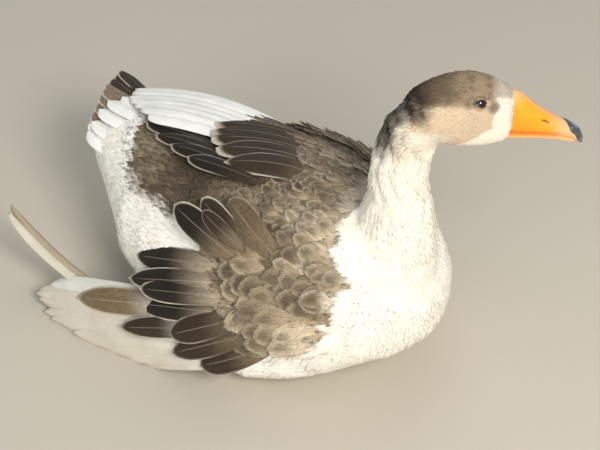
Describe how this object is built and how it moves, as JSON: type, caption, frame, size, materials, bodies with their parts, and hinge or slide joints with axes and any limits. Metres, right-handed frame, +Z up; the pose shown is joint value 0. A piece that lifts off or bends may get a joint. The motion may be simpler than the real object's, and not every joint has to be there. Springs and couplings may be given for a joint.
{
  "type": "domestic goose",
  "caption": "Life-size domestic goose sitting on the ground, neck raised, head turned to its left, right wing let down beside it.",
  "frame": {"origin": "on the floor, at the middle of the flat of the belly", "axes": "+X towards the breast, +Y towards the goose's left, +Z up"},
  "size_m": [0.5512, 0.3359, 0.3606],
  "materials": {
    "white_feathers": "soft, matt, white contour feathers",
    "brown_feathers": "grey-brown vanes with pale edges",
    "head_feathers": "short plush feathers, grey-brown above and tan below",
    "bill_horn": "smooth orange horn",
    "nail_horn": "dark grey horn",
    "eye": "wet, dark brown",
    "leg_skin": "scaly orange skin"
  },
  "bodies": {
    "root": {"eye_left": "eye", "eye_right": "eye", "bill_nail": "nail_horn", "bill_upper": "bill_horn", "bill_lower": "bill_horn", "head": "head_feathers", "neck": "white_feathers", "trunk": "white_feathers", "wing_right_coverts": "brown_feathers", "wing_left_coverts": "brown_feathers", "wing_right_top_tertials": "brown_feathers", "wing_right_tertials": "brown_feathers", "wing_right_lower_coverts": "brown_feathers", "wing_right_secondaries": "white_feathers", "wing_right_primaries": "white_feathers", "wing_left_tertials": "brown_feathers", "wing_left_flight": "white_feathers", "tail": "brown_feathers", "foot_left": "leg_skin", "leg_left": "leg_skin", "foot_right": "leg_skin", "leg_right": "leg_skin"}
  },
  "joints": []
}
